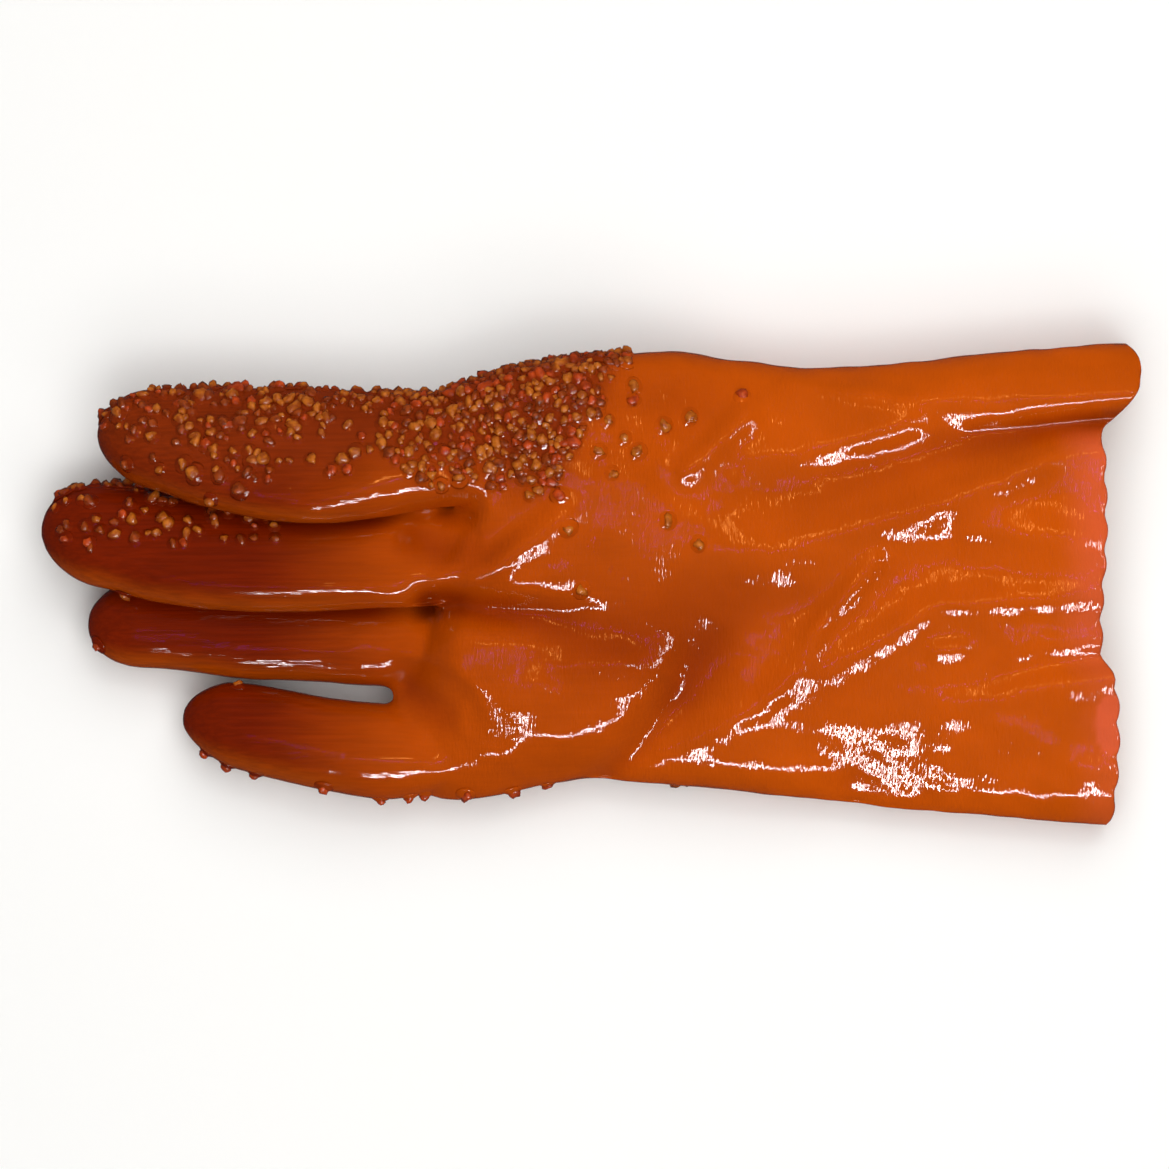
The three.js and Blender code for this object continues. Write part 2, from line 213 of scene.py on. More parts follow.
# Folds in the back of the glove: points of each line, then its widths and heights from one end to the
# other, or one for all of it. A height below zero is a valley, and the deep ones are painted darker: painted
# shade in the crease, and film pooled in it.
backFolds = [
    # between two fingers
    ([(-44, -5.5), (-20, -8), (4, -11), (22, -14)], [4.5, 6.5, 9, 12], [-7, -5.0, -1.8, -0.5]),
    ([(-33, -2.6), (-6, -3.2), (14, -4)], [3, 3.5, 5], [1.0, 0.7, 0.1]),
    ([(-41, -8.5), (-28, -13.7), (-11, -15.6)], [4, 4.5, 5], [1.3, 1.6, 0.5]),
    ([(-30, 5), (6, 13)], [7, 9], [2, 1]),
    ([(-38, -17), (-21, -33)], [8, 9], [2.6, 2.8]),  # ring knuckle
    ([(-50, -29), (-41, -36)], [6, 7], [-3.5, -3.0]),  # crotch of the little finger
    ([(-52, -19), (-38, -22.6), (-30, -30), (-28.5, -37)], [2.6, 2.4, 2.2, 2.2], [0.6, 1.0, 0.9, 0.3]),
    ([(-36, -35), (-35.6, -39.5)], 2.4, 0.7),
    ([(-15, -27), (-10.5, -32)], 3.5, [0.8, 0.7]),
    ([(-4, -21.5), (8, -21.5)], 3.2, 0.9),
    ([(-21, -46), (-14, -44), (0, -40)], [5, 5, 6], [0.9, 1.1, 0.9]),
    ([(-28, -47), (-24, -48)], 4, 0.8),
    ([(-6, -40), (10, -22)], 12, [2.3, 1.9]),  # heel of the hand
    ([(-1, -53.5), (7, -44), (15, -32), (20.5, -21), (22, -13)], [4.5, 5, 6, 5, 4],
     [0.8, 1.0, 0.8, 0.6, 0.2]),
    # wrist crease
    ([(3, -53), (14, -42), (23.5, -31), (31, -17)], [4.5, 5.5, 7, 9], [-3.4, -3.2, -2.4, -1.4]),
    ([(-44, -1), (-40, 2.5), (-35, 10), (-31.5, 18), (-32.2, 22)], [2.6, 2.6, 2.6, 2.4, 2.2],
     [0.9, 1.1, 1.1, 0.9, 0.4]),
    ([(-42, 26), (-34.7, 28.3), (-29, 24.7), (-28, 18.5), (-32.5, 8)], [2.8, 2.6, 2.6, 2.6, 2.6],
     [0.5, 0.9, 1.0, 0.7, 0.2]),
    ([(-50, 13), (-40, 8.5)], [6.5, 5], [-3.2, -2.4]),  # hollow beside the index finger
    ([(-40, 19.5), (-35, 20.5)], 4, [-1.4, -1.0]),
    ([(-31.4, 0), (-21, 9.6), (-8.6, 18.4)], [3.6, 4, 4.5], [1.2, 1.9, 1.75]),  # long ridge over the hand
    ([(-27, 11), (-17, 20)], [4, 5], [-1.4, -0.8]),
    ([(-14, 6), (4, 11)], [8, 9], [-1.1, -0.5]),
    ([(-20, -0.3), (-2, 2.7)], [3.2, 4], [1.1, 0.5]),
    ([(10, 4), (36, 12)], [13, 14], [0.7, 0.5]),
    ([(26, 31), (42, 46)], [4, 4.2], [2.5, 2.3]),
    ([(22, 30), (33, 49)], [7, 8], [-1.0, -0.6]),
    ([(46, 35), (60, 36), (86, 43.5)], 5, [1.0, 2.2, 1.8]),
    ([(56, 55), (70, 53), (83, 50.5), (99, 51.5)], [4, 3.6, 3.6, 4], [1.0, 1.8, 1.8, 1.0]),
    ([(60, -53), (70, -53.5), (84, -54.5), (98, -56), (106, -57.5)], [8, 10, 10, 9, 7],
     [-0.6, -2.3, -2.2, -1.6, -0.2]),
    ([(24, -50), (38, -51.5), (52, -52.5)], [9, 9, 7], [1.2, 1.8, 0.9]),
    ([(112, -57.5), (145, -59)], 8, 1.1),
    ([(60, 45), (158, 54)], [12, 8], [0.5, 2]),  # roll of the cuff
    ([(52, 27), (98, 38), (146, 44.5)], [14, 8, 4.0], [-1.8, -3.6, -5.6]),  # valley under the roll
    ([(104, 41), (148, 46)], [2.2, 2.0], [-0.8, -2.2]),
    ([(46, 9), (79, 17), (112, 28.5), (129, 37.5), (148, 41)], [8, 7, 6, 4.5, 3.5],
     [1.4, 2.0, 2.2, 2.0, 1.6]),
    ([(24, -30), (40, -14), (66, 4), (90, 10)], [8, 10, 12, 12], [-1.4, -1.0, -0.6, -0.4]),  # wrist trough
    ([(84, 2), (112, 8)], 9, [-1.2, -0.6]),
]

# The same for the ridges and pleats of the sleeve, where the film isn't darkened.
sleeveFolds = [
    ([(28, -42), (34, -40.3), (46, -33.5), (56, -24), (62, -12.6)], [4.2, 4, 4.2, 4, 3.5],
     [0.7, 1.4, 1.6, 1.4, 0.8]),
    ([(60, -14), (67, -6), (77, 6)], [3.2, 3.4, 3.4], [1.2, 2.2, 1.8]),
    ([(61, -26.5), (76, -17), (86, -11), (93, -6), (105, -5), (128, -4.2), (138, -1.5)],
     [4.5, 4.5, 4, 3.6, 3.8, 4, 4], [0.5, 1.5, 1.6, 1.3, 1.15, 1.0, 0.8]),
    ([(95, -18.5), (100, -18)], 3.2, 1.05),
    ([(106, 15), (134, 11.5)], 6, [1.3, 1.4]),
    ([(101, -29), (123, -22.6), (150, -19)], [4.5, 4, 3.2], [-0.4, -1.2, -2.8]),  # pleat at the rim
    ([(98, -34), (122, -28), (150, -25)], [5, 4.5, 4.5], [0.6, 1.3, 1.5]),
    ([(111, -39), (137, -51)], 4.5, [0.8, 1.0]),
    ([(60, -44), (100, -46)], [5, 6], [-0.7, -0.5]),
    ([(20, 60), (28, 61)], 6, 1.0),
    ([(118, -10), (146, -12)], 5, [-0.6, -0.9]),
]

# The same for single fingers.
fingerFolds = {
    "index": [
        ([(-76, 22.5), (-59, 28), (-47, 31)], [4.5, 5, 5], [0.7, 1.3, 0.6]),
        ([(-86, 35), (-72, 33)], [6, 7], -0.9),
        ([(-78, 26), (-66, 31)], [3.5, 4], [-0.9, -0.5]),
        ([(-104, 30), (-96, 36)], 4, 0.5),
        ([(-125, 38), (-100, 33)], [5, 6], -0.4),
    ],
    "middle": [
        ([(-118, 1), (-90, -1), (-62, -1)], [2.2, 2.4, 2.4], [0.3, 0.5, 0.5]),
        ([(-80, 3), (-55, 1.5)], 2.2, [-0.3, -0.4]),
        ([(-60, 12), (-46, 8)], 5, [0.8, 0.4]),
        ([(-135, 7), (-110, 5)], 3, [0.3, 0.2]),
    ],
    "ring": [
        ([(-105, -16), (-75, -19)], 2.4, 0.15),
        ([(-92, -20), (-66, -22)], 2, [-0.05, -0.15]),
        ([(-64, -15), (-48, -18)], [3.5, 4], [0.6, 0.5]),
        ([(-126, -10), (-110, -12)], 3, 0.3),
    ],
    "little": [
        ([(-96, -40), (-70, -45)], [2.6, 2.8], 0.4),
        ([(-84, -36), (-64, -39)], 2.4, [-0.3, -0.4]),
        ([(-66, -47), (-50, -49)], [3.5, 4], 0.5),
    ],
    "thumb": [],
}


def sleevePoints(places, inset, around):
    angles = np.linspace(0, 2 * np.pi, around, endpoint=False)
    x = np.repeat(np.asarray(places)[:, None], around, axis=1)
    _, yLow, yHigh, low, middle, high = np.moveaxis(sampleRows(sleeveRows, x), -1, 0)
    _, overThumb, atEdge, riseAt = np.moveaxis(sampleRows(undersideRows, x), -1, 0)
    start = shell["sleeveStart"] + inset
    fromStart = np.maximum(start + shell["knuckleRound"] - x, 0) / shell["knuckleRound"]
    closing = np.sqrt(np.maximum(1 - fromStart**2, 0))
    slant = np.maximum(1 - (x - start) / shell["slantLength"], 0)
    halfWidth = ((yHigh - yLow) / 2 - inset) * (shell["frontShare"] + (1 - shell["frontShare"]) * closing)
    side = signedPower(np.cos(angles), shell["edgePower"])[None, :]
    rise = signedPower(np.sin(angles), shell["edgePower"])[None, :]
    y = (yLow + yHigh) / 2 + halfWidth * side
    top = middle + (high - low) / 2 * side + ((high + low) / 2 - middle) * side**2
    riseShare = smooth(y, riseAt - shell["riseReach"], riseAt + shell["riseReach"])
    edgeShare = smooth(side, shell["edgeFrom"], 1) + 0 * y
    under = -shell["footSink"] * (1 - riseShare) + (overThumb + (atEdge - overThumb) * edgeShare) * riseShare
    half = ((top - under) / 2 - inset) * closing
    z = (top + under) / 2 + half * rise
    front = sampleRows(knuckleRows, y)[..., 1] - shell["sleeveStart"]
    return np.stack([x + front * slant, y, np.maximum(z, inset)], -1)


def apartAt(finger, x):
    near, far = finger.get("apartFrom", (-44, -64))
    return smooth(-x, -near, -far)[..., None] * np.array(finger["apart"])


def fingerSection(finger, x):
    return np.moveaxis(sampleRows(finger["rows"], x), -1, 0)[1:]


def capAngles(rings):
    return np.radians(np.linspace(6, 84, rings))


def fingerPoints(finger, inset, around):
    tip, base = finger["rows"][0][0] + inset - shell["tipReach"], finger["rows"][-1][0]
    tipRound = finger["tipRound"] + shell["tipReach"]
    tipAngles = capAngles(12)
    rounded = tip + tipRound * (1 - np.cos(tipAngles))
    straight = np.linspace(tip + tipRound, base, int((base - tip) / shell["ringStep"]))
    places = np.concatenate([rounded, straight])
    scale = np.concatenate([np.sin(tipAngles), np.ones(len(straight))])[:, None]
    angles = np.linspace(0, 2 * np.pi, around, endpoint=False)[None, :]
    x = np.repeat(places[:, None], around, axis=1)
    y, z, halfWidth, halfHeight, roll = fingerSection(finger, x)
    roll = np.radians(roll)
    u = (halfWidth - inset) * signedPower(np.cos(angles), shell["fingerPower"]) * scale
    v = (halfHeight - inset) * signedPower(np.sin(angles), shell["fingerPower"]) * scale
    y = y + u * np.cos(roll) + v * np.sin(roll)
    z = z - u * np.sin(roll) + v * np.cos(roll)
    return np.stack([x, y, np.maximum(z, inset)], -1) + apartAt(finger, x)


def closedTube(rings):
    # a grid of rings as points and faces, with both ends fanned shut
    count, around = rings.shape[:2]
    points = np.concatenate([rings.reshape(-1, 3), rings[0].mean(0)[None], rings[-1].mean(0)[None]])
    i = np.arange(around)
    j = (i + 1) % around
    a = np.arange(count - 1)[:, None] * around
    quads = np.stack([a + i, a + j, a + around + j, a + around + i], -1).reshape(-1, 4)
    end, first = (count - 1) * around, np.full(around, count * around)
    fans = np.concatenate([np.stack([j, i, first], -1), np.stack([end + i, end + j, first + 1], -1)])
    return points, quads.tolist() + fans.tolist()


def meshFrom(name, points, faces):
    mesh = bpy.data.meshes.new(name)
    mesh.from_pydata(np.asarray(points, float).tolist(), [], faces)
    mesh.update()
    return mesh


def objectFrom(name, mesh):
    made = bpy.data.objects.new(name, mesh)
    bpy.context.scene.collection.objects.link(made)
    return made


def valuesOf(items, name, width, kind=float):
    values = np.empty(len(items) * width, kind)
    items.foreach_get(name, values)
    return values.reshape(-1, width)


def pointsOf(mesh):
    return valuesOf(mesh.vertices, "co", 3)


def normalsOf(mesh):
    return valuesOf(mesh.vertices, "normal", 3)


def facesOf(mesh):
    return [list(face.vertices) for face in mesh.polygons]


def setPoints(mesh, points):
    mesh.vertices.foreach_set("co", np.ascontiguousarray(points).ravel())
    mesh.update()


def addMark(mesh, name, values):
    # a value at each point, which the materials read
    mesh.attributes.new(name, "FLOAT", "POINT").data.foreach_set("value", values.astype(np.float32))


def shadeSmooth(mesh):
    mesh.polygons.foreach_set("use_smooth", np.ones(len(mesh.polygons), bool))


def remeshed(name, parts, voxel):
    # one closed surface round all the parts
    points, faces = [], []
    for partPoints, partFaces in parts:
        before = sum(len(p) for p in points)
        points.append(partPoints)
        faces += [[k + before for k in face] for face in partFaces]
    rough = objectFrom(name, meshFrom(name, np.concatenate(points), faces))
    remesh = rough.modifiers.new("one skin", "REMESH")
    remesh.mode = "VOXEL"
    remesh.voxel_size = voxel
    skinned = bpy.data.meshes.new_from_object(rough.evaluated_get(bpy.context.evaluated_depsgraph_get()))
    bpy.data.objects.remove(rough)
    return skinned


def relaxed(points, edges, share, rounds):
    # moves points towards the mean of their neighbours, and back, so that the whole keeps its size
    ends = np.concatenate([edges, edges[:, ::-1]])
    count = np.bincount(ends[:, 0], minlength=len(points))[:, None]
    share = np.reshape(share, (-1, 1))
    for turn in range(rounds * 2):
        total = np.stack([np.bincount(ends[:, 0], points[ends[:, 1], a], len(points)) for a in range(3)], -1)
        strength = shell["smoothing"][turn % 2]
        points = points + (total / np.maximum(count, 1) - points) * strength * share
    return points


def fingerLevel(finger, points, inset):
    # 1 on the surface of the finger while it is held apart, and less inside it
    x = points[:, 0]
    y, z, halfWidth, halfHeight, roll = fingerSection(finger, x)
    centre = np.stack([x, y, z], -1) + apartAt(finger, x)
    roll = np.radians(roll)
    dy, dz = points[:, 1] - centre[:, 1], points[:, 2] - centre[:, 2]
    tip, tipRound = finger["rows"][0][0] + inset - shell["tipReach"], finger["tipRound"] + shell["tipReach"]
    fromTip = np.clip((tip + tipRound - x) / tipRound, 0, 0.98)  # at 1 the section would have no width
    scale = np.sqrt(1 - fromTip**2)
    u = (dy * np.cos(roll) - dz * np.sin(roll)) / ((halfWidth - inset) * scale)
    v = (dy * np.sin(roll) + dz * np.cos(roll)) / ((halfHeight - inset) * scale)
    power = 2 / shell["fingerPower"]
    level = (np.abs(u) ** power + np.abs(v) ** power) ** (1 / power)
    past = np.maximum(tip - x, x - finger["rows"][-1][0])
    return level + np.maximum(past, 0) / 4  # 1 more for each 4 mm past its ends


def lineHeight(points, lines):
    # height that a list of folds adds at each point, seen from above
    height = np.zeros(len(points))
    for path, widths, heights in lines:
        path = np.array(path, float)
        lengths = np.linalg.norm(np.diff(path, axis=0), axis=1)
        reach = np.max(widths) * 2.6  # past this a fold adds nothing that shows
        near = np.all((points[:, :2] > path.min(0) - reach) & (points[:, :2] < path.max(0) + reach), axis=1)
        spot = points[near, :2]
        nearest, share = np.full(len(spot), 1e9), np.zeros(len(spot))
        for k, length in enumerate(lengths):
            along = (path[k + 1] - path[k]) / length
            t = np.clip((spot - path[k]) @ along, 0, length)
            distance = np.linalg.norm(spot - path[k] - t[:, None] * along, axis=1)
            closer = distance < nearest
            nearest = np.where(closer, distance, nearest)
            share = np.where(closer, (lengths[:k].sum() + t) / lengths.sum(), share)
        width, most = (np.interp(share, np.linspace(0, 1, np.size(v)), np.ravel(v))
                       for v in (widths, heights))
        height[near] += most * np.exp(-((nearest / width) ** 2))
    return height


def ripple(points, length, seed, count=18):
    # smooth random waves of about one wavelength, between about -1 and 1
    turn = np.random.default_rng(seed)
    total, wave = np.zeros(len(points)), 2 * np.pi / length
    for _ in range(count):
        way = turn.normal(size=3)
        way /= np.linalg.norm(way)
        total += np.sin(points @ way * wave * turn.uniform(0.6, 1.6) + turn.uniform(0, 2 * np.pi))
    return total / np.sqrt(count) / 1.4


def rimAt(y):
    wave = np.abs(np.cos(np.pi * (y - rimRows[0][0]) / scallop["pitch"]))
    return sampleRows(rimRows, y)[..., 1] + scallop["depth"] * (wave - 0.5)


def skin(name):
    # one side of the wall: meshed with the fingers held apart, then laid together and smoothed
    side = shell[name]
    inset, around, step = side["inset"], side["around"], shell["ringStep"]
    closing = shell["knuckleRound"] * (1 - np.cos(capAngles(14)))
    straight = np.arange(shell["sleeveStart"] + shell["knuckleRound"] + step, shell["sleeveEnd"] + 0.1, step)
    places = np.concatenate([shell["sleeveStart"] + inset + closing, straight])
    parts = [closedTube(sleevePoints(places, inset, around))]
    parts += [closedTube(fingerPoints(finger, inset, around // 3)) for finger in fingers.values()]
    mesh = remeshed(name, parts, side["voxel"])
    points, edges = pointsOf(mesh), valuesOf(mesh.edges, "vertices", 2, int)
    levels = np.stack([fingerLevel(fingers[f], points, inset) for f in fingerNames])
    owner, lowest = levels.argmin(0), levels.min(0)
    for k, f in enumerate(fingerNames):
        mine = (owner == k) & (lowest < shell["movedWithin"])
        points[mine] -= apartAt(fingers[f], points[mine, 0])
    owner = np.where(lowest < shell["ownedWithin"], owner, -1)
    # the roots of the fingers, where the parts meet, are smoothed the most
    root = within(points[:, 0], *shell["fingerRoots"])
    thumbRoot = within(points[:, 0], *shell["thumbRoot"]) * (points[:, 2] < 20)
    points = relaxed(points, edges, 1.0, side["rounds"])
    points = relaxed(points, edges, np.maximum(root, thumbRoot), side["rootRounds"])
    setPoints(mesh, points)
    return mesh, points, owner


def foldedPoints(points, normals, owner, side):
    up = smooth(normals[:, 2], *shell["backFacing"])
    offFingers = (owner == -1) | (owner == fingerNames.index("thumb"))
    onHand = np.maximum(offFingers, smooth(points[:, 0], *shell["handFrom"]))
    height = lineHeight(points, backFolds + sleeveFolds) * up * onHand
    for k, f in enumerate(fingerNames):
        height += lineHeight(points, fingerFolds[f]) * up * (owner == k)
    moved = points.copy()
    moved[:, 2] += height
    uneven = sum(most * ripple(points, length, seed) for most, length, seed in shell["ripples"])
    uneven *= stepped(points[:, 0], *shell["rippleSteps"])
    moved += normals * (uneven * side["rippled"])[:, None]
    lift = shell["palmLift"] * (1 - smooth(moved[:, 0], *shell["palmEnd"]))
    moved[:, 2] = np.maximum(moved[:, 2], lift + side["inset"])
    return moved


def trimmed(mesh, points):
    # cut along the scalloped rim
    setPoints(mesh, np.stack([points[:, 0] - rimAt(points[:, 1]), points[:, 1], points[:, 2]], -1))
    cut = bmesh.new()
    cut.from_mesh(mesh)
    bmesh.ops.bisect_plane(cut, geom=cut.verts[:] + cut.edges[:] + cut.faces[:], dist=0.02,
                           plane_co=(0, 0, 0), plane_no=(1, 0, 0), clear_outer=True)
    cut.to_mesh(mesh)
    cut.free()
    points = pointsOf(mesh)
    points[:, 0] += rimAt(points[:, 1])
    setPoints(mesh, points)
    return points


def rimLoop(mesh, points):
    # the open edge in order, from its thumb-side end, first over the top
    cut = bmesh.new()
    cut.from_mesh(mesh)
    following = {}
    for edge in cut.edges:
        if edge.is_boundary:
            a, b = (v.index for v in edge.verts)
            following.setdefault(a, []).append(b)
            following.setdefault(b, []).append(a)
    cut.free()
    start = max(following, key=lambda k: points[k, 1])
    loop = [start, max(following[start], key=lambda k: points[k, 2])]
    while loop[-1] != start:
        loop.append(next(k for k in following[loop[-1]] if k != loop[-2]))
    return np.array(loop[:-1])


def loopShares(points, loop):
    # 0 at the thumb-side end, 1 at the far end, 2 back at the start
    ring = points[loop][:, 1:]
    steps = np.linalg.norm(np.roll(ring, -1, 0) - ring, axis=1)
    reached = np.concatenate([[0], np.cumsum(steps)])
    far = ring[:, 0].argmin()
    share = np.empty(len(loop))
    share[:far + 1] = reached[:far + 1] / reached[far]
    share[far:] = 1 + (reached[far:len(loop)] - reached[far]) / (reached[-1] - reached[far])
    return share


def buildShell():
    made = []
    for name in ("outside", "inside"):
        mesh, points, owner = skin(name)
        addMark(mesh, "owner", owner)  # kept through the cut
        made += [mesh, trimmed(mesh, foldedPoints(points, normalsOf(mesh), owner, shell[name]))]
        print(name, "meshed", len(mesh.polygons), "faces")
    outside, outer, inside, inner = made

    # the rim: a rounded lip between the two open edges
    outerLoop, innerLoop = rimLoop(outside, outer), rimLoop(inside, inner)
    print("rim", len(outerLoop), "and", len(innerLoop), "points")
    outerShare, innerShare = loopShares(outer, outerLoop), loopShares(inner, innerLoop)
    closedLoop, closedShare = np.append(innerLoop, innerLoop[0]), np.append(innerShare, 2)
    facing = np.stack([np.interp(outerShare, closedShare, inner[closedLoop, a]) for a in range(3)], -1)
    lip = outer[outerLoop] * 0.5 + facing * 0.5 + [shell["lipOut"], 0, 0]
    first, second = len(outer), len(outer) + len(inner)
    faces = facesOf(outside)
    outerFaces = len(faces)
    faces += [[k + first for k in face[::-1]] for face in facesOf(inside)]
    count = len(outerLoop)
    for k in range(count):
        n = (k + 1) % count
        faces.append([int(outerLoop[k]), int(outerLoop[n]), second + n, second + k])
    # from the lip to the inside, the edge whose next point comes first goes on
    nextOuter, nextInner = [*outerShare[1:], 2, 9], [*innerShare[1:], 2, 9]  # 2 closes an edge, 9 ends it
    a, b = 0, 0
    while a < count or b < len(innerLoop):
        lipHere, innerHere = second + a % count, first + int(innerLoop[b % len(innerLoop)])
        if nextOuter[a] <= nextInner[b]:
            faces.append([lipHere, second + (a + 1) % count, innerHere])
            a += 1
        else:
            faces.append([lipHere, first + int(innerLoop[(b + 1) % len(innerLoop)]), innerHere])
            b += 1
    points = np.concatenate([outer, inner, lip])
    points[:, :2] += shift
    low, high = outer.min(0), outer.max(0)
    print("outline", (low[:2] + shift).round(2), (high[:2] + shift).round(2), "height", high[2].round(2))
    mesh = meshFrom("glove_film", points, faces)
    owner = np.full(len(points), -1.0)
    kept = np.round(valuesOf(outside.attributes["owner"].data, "value", 1)[:, 0])
    owner[:len(outer)] = np.where(outer[:, 0] > shell["thumbEnd"], -1, kept)
    insideFaces = np.zeros(len(faces), int)
    insideFaces[outerFaces:outerFaces + len(inside.polygons)] = 1
    mesh.polygons.foreach_set("material_index", insideFaces)
    return mesh, points, owner, outerFaces


filmMesh, filmPoints, filmOwner, outerFaces = buildShell()
filmNormals = normalsOf(filmMesh)

# the coat that holds the crumbs: x, y from which it wraps over the back from the palm
coatRows = [
    (-138, 38), (-121, 32), (-107, 28), (-94, 29), (-80, 31), (-66, 33), (-58, 35), (-44, 31),
    (-31, 31), (-17, 28), (-10, 30), (-6, 36), (-1, 45.5), (4, 54), (8, 62), (14, 72),
]

crumbs = {
    "size": (1.5, 3.9),  # across, in mm
    "sizeSpread": (1.9, 2.3),
    "loneSize": (2.5, 3.2),
    "coatEdge": (-7, 5),  # from the line of the coat
    "wellPast": (4, 16),
    "handDensity": 0.25,  # crumbs per square mm
    "handSpan": (-62, 24),
    "indexDensity": (0.032, 0.078),  # at the line of the coat, and well past it
    "indexEnd": -58,
    "tipSteps": (0.45, (0.55, -132, -108)),  # fewer at the tip
    "middleDensity": 0.029,
    "middleSpan": (-150, -146, -92, -80),
    "middleSide": (8, 12),
    "sideFacing": -0.2,  # the back's coat ends where the film faces further down
    "palmDensity": 0.13,
    "palmFacing": (-0.9, -0.6),
    "palmEnd": (26, 36),
    "tries": 1.9,  # places drawn for each crumb, as many are too near another
    "apart": 0.62,  # least distance between two, in sizes
    "stands": (0.05, 0.07),  # how far its middle stands off the film, in a crowd and alone, in sizes
    "domes": (0.5, 0.56),  # half-width of the film drawn up round it, the same two ways
    "domeFacing": -0.25,
    "loneShine": 2.2,  # the lone ones show through a thinner film
    # share of all the crumbs, then the light and the dark colour
    "shades": {
        "grip_tan": (0.48, "#c66c1a", "#96440a"),
        "grip_brown": (0.34, "#a0420c", "#702a06"),
        "grip_red": (0.18, "#c4460e", "#943008"),
    },
}

# crumbs that lie alone: x, y
loneCrumbs = [
    (-6.2, 14.8), (21.2, 17.5), (29.5, 10.7), (40.4, 51), (26.7, 44.9), (19.9, 43.6), (8.9, 39.5),
    (11.6, 53.6), (11, 49.6), (3.9, 44), (11.9, 35.6), (2.1, 36.3), (5.6, 30.4), (-8.9, 24.4), (-17.2, 24.4),
    (-2.6, -2.2), (-107.8, -48.2), (-92.7, -53.4),
    (-58.8, -59.5), (-50.5, -58.6), (-35.2, -58.4), (-21.5, -57), (-100.5, -51),
    (-136, -17), (-128, -3), (-97, -28), (-74, -56), (-46, -58.6), (-12, -55.4),
]


def crumbDensity(points, normals, owner):
    x, y = points[:, 0] - shift[0], points[:, 1] - shift[1]
    up = normals[:, 2]
    fromCoat = y - sampleRows(coatRows, x)[..., 1]
    wrap, past = smooth(fromCoat, *crumbs["coatEdge"]), smooth(fromCoat, *crumbs["wellPast"])
    first, last = crumbs["handSpan"]
    density = crumbs["handDensity"] * wrap * (x > first) * (x < last)
    low, high = crumbs["indexDensity"]
    onIndex = (owner == fingerNames.index("index")) & (x < crumbs["indexEnd"])
    density = np.where(onIndex, (low + (high - low) * past) * wrap, density)
    density = density * stepped(x, *crumbs["tipSteps"])
    onMiddle = within(x, *crumbs["middleSpan"]) * smooth(y, *crumbs["middleSide"]) * crumbs["middleDensity"]
    onSide = density * (up > crumbs["sideFacing"])
    density = np.where(owner == fingerNames.index("middle"), onMiddle, onSide)
    palm = (1 - smooth(up, *crumbs["palmFacing"])) * (1 - smooth(x, *crumbs["palmEnd"]))
    return np.maximum(density, palm * crumbs["palmDensity"])


def crumbShape(sides, sharpness=14):
    # a crushed chip with about this many sides, all its edges rounded by the film over it
    chip = bmesh.new()
    bmesh.ops.create_icosphere(chip, subdivisions=2, radius=1)
    points = np.array([v.co[:] for v in chip.verts])
    faces = np.array([[v.index for v in face.verts] for face in chip.faces])
    chip.free()
    facing = rng.normal(size=(sides, 3))
    facing /= np.linalg.norm(facing, axis=1)[:, None]
    cut = np.maximum(points @ facing.T / rng.uniform(0.7, 1.0, sides), 0)
    radius = np.clip((cut**sharpness).sum(1) ** (-1 / sharpness), 0.72, 1.42)
    radius *= rng.uniform(0.87, 1.12, len(points))  # lumps
    return points * radius[:, None] * [1.08, 1.0, 0.9], faces


def domeShape(around=14):
    # the film drawn up round a crumb: radius and height of each ring, in halves of a crumb's size
    profile = [(1.95, -0.25), (1.55, 0.0), (1.25, 0.14), (1.0, 0.3), (0.76, 0.44), (0.4, 0.52)]
    foot, crown = [0, 0, -0.3], [0, 0, 0.53]
    angles = np.linspace(0, 2 * np.pi, around, endpoint=False)
    circle = np.stack([np.cos(angles), np.sin(angles), np.zeros(around)], -1)
    points, faces = closedTube(np.stack([r * circle + [0, 0, h] for r, h in profile]))
    points[-2:] = foot, crown
    return points, np.array([[f[0], f[k], f[k + 1]] for f in faces for k in range(1, len(f) - 1)])


def randomTurns(count):
    q = rng.normal(size=(count, 4))
    w, x, y, z = (q / np.linalg.norm(q, axis=1)[:, None]).T
    return np.stack([
        np.stack([1 - 2 * (y * y + z * z), 2 * (x * y - z * w), 2 * (x * z + y * w)], -1),
        np.stack([2 * (x * y + z * w), 1 - 2 * (x * x + z * z), 2 * (y * z - x * w)], -1),
        np.stack([2 * (x * z - y * w), 2 * (y * z + x * w), 1 - 2 * (x * x + y * y)], -1)], -2)


def standingTurns(normals):
    # turns that stand a shape's z along each normal
    side = np.cross(normals, np.where(np.abs(normals[:, :1]) > 0.8, [[0, 1, 0]], [[1, 0, 0]]))
    side /= np.linalg.norm(side, axis=1)[:, None]
    return np.stack([side, np.cross(normals, side), normals], -1)


def joinedCopies(name, shapes, pick, places, turns, sizes, facing):
    # "top" tells the material how far up a copy each point lies, from about -1 to 1
    points, faces, tops, count = [], [], [], 0
    for k, (shapePoints, shapeFaces) in enumerate(shapes):
        mine = np.flatnonzero(pick == k)
        if not len(mine):
            continue
        turned = np.einsum("nij,vj->nvi", turns[mine], shapePoints)
        placed = turned * sizes[mine, None, None] + places[mine, None]
        placed[..., 2] -= np.minimum(placed[..., 2].min(1), 0)[:, None]  # none goes through the table
        starts = count + np.arange(len(mine)) * len(shapePoints)
        points.append(placed.reshape(-1, 3))
        tops.append(np.einsum("nvi,ni->nv", turned, facing[mine]).ravel())
        faces.append((shapeFaces[None] + starts[:, None, None]).reshape(-1, 3))
        count += placed.shape[0] * placed.shape[1]
    mesh = meshFrom(name, np.concatenate(points) * mm, np.concatenate(faces).tolist())
    addMark(mesh, "top", np.concatenate(tops))
    shadeSmooth(mesh)
    return mesh


